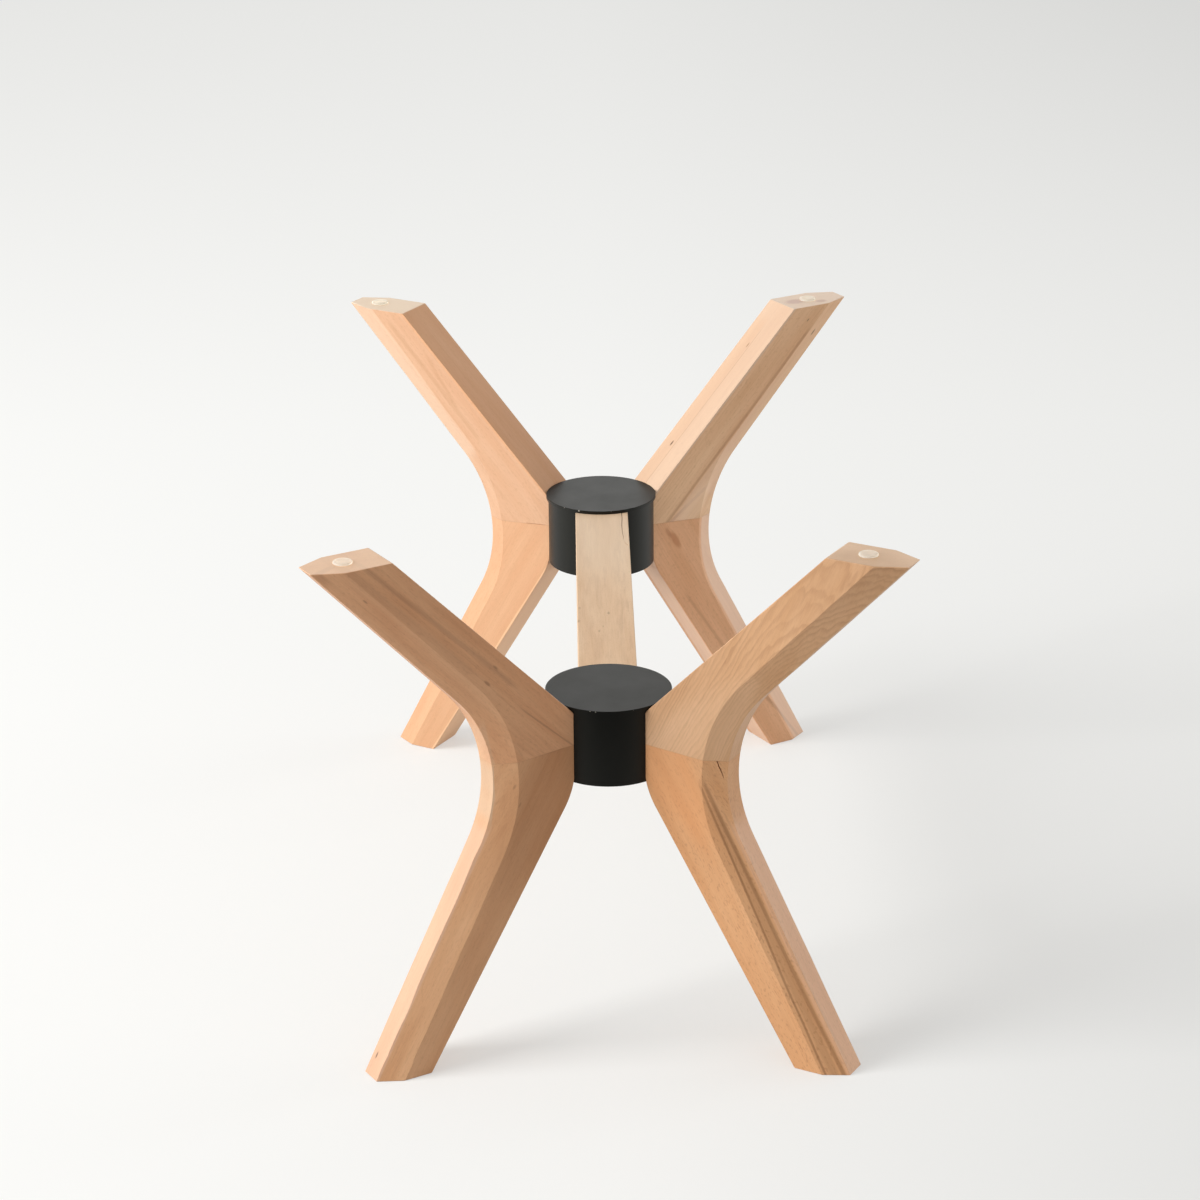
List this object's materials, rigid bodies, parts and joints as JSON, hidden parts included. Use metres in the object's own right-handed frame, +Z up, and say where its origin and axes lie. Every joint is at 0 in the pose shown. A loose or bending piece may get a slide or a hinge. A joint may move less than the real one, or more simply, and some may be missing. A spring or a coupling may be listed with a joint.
{
  "type": "coffee table base",
  "caption": "Coffee table base: bent, chamfered beech legs and a stretcher bolted to round black steel hubs, with clear bumpers on the leg tops to carry a table top.",
  "frame": {"origin": "on the floor, under the middle of the stretcher", "axes": "+Z up; Y runs along the stretcher from the front hub to the rear one; X runs from left to right"},
  "size_m": [0.4248, 0.6856, 0.402],
  "materials": {
    "beech": "planed, sanded and oiled, satin",
    "dowel_beech": "fluted rod, raw",
    "black_paint": "satin black paint on steel",
    "plated_steel": "zinc plated",
    "zinc_alloy": "cast zinc alloy, yellow passivated",
    "clear_silicone": "clear, glossy"
  },
  "bodies": {
    "root": {"front_hub_bolts": "plated_steel", "front_hub_cap": "black_paint", "front_hub_tube": "black_paint", "front_hub_washers": "plated_steel", "front_left_bumper": "clear_silicone", "front_left_inserts": "zinc_alloy", "front_left_knee_dowels": "dowel_beech", "front_left_lower_arm": "beech", "front_left_upper_arm": "beech", "front_right_bumper": "clear_silicone", "front_right_inserts": "zinc_alloy", "front_right_knee_dowels": "dowel_beech", "front_right_lower_arm": "beech", "front_right_upper_arm": "beech", "rear_hub_bolts": "plated_steel", "rear_hub_cap": "black_paint", "rear_hub_tube": "black_paint", "rear_hub_washers": "plated_steel", "rear_left_bumper": "clear_silicone", "rear_left_inserts": "zinc_alloy", "rear_left_knee_dowels": "dowel_beech", "rear_left_lower_arm": "beech", "rear_left_upper_arm": "beech", "rear_right_bumper": "clear_silicone", "rear_right_inserts": "zinc_alloy", "rear_right_knee_dowels": "dowel_beech", "rear_right_lower_arm": "beech", "rear_right_upper_arm": "beech", "stretcher": "beech", "stretcher_inserts": "zinc_alloy"}
  },
  "joints": []
}
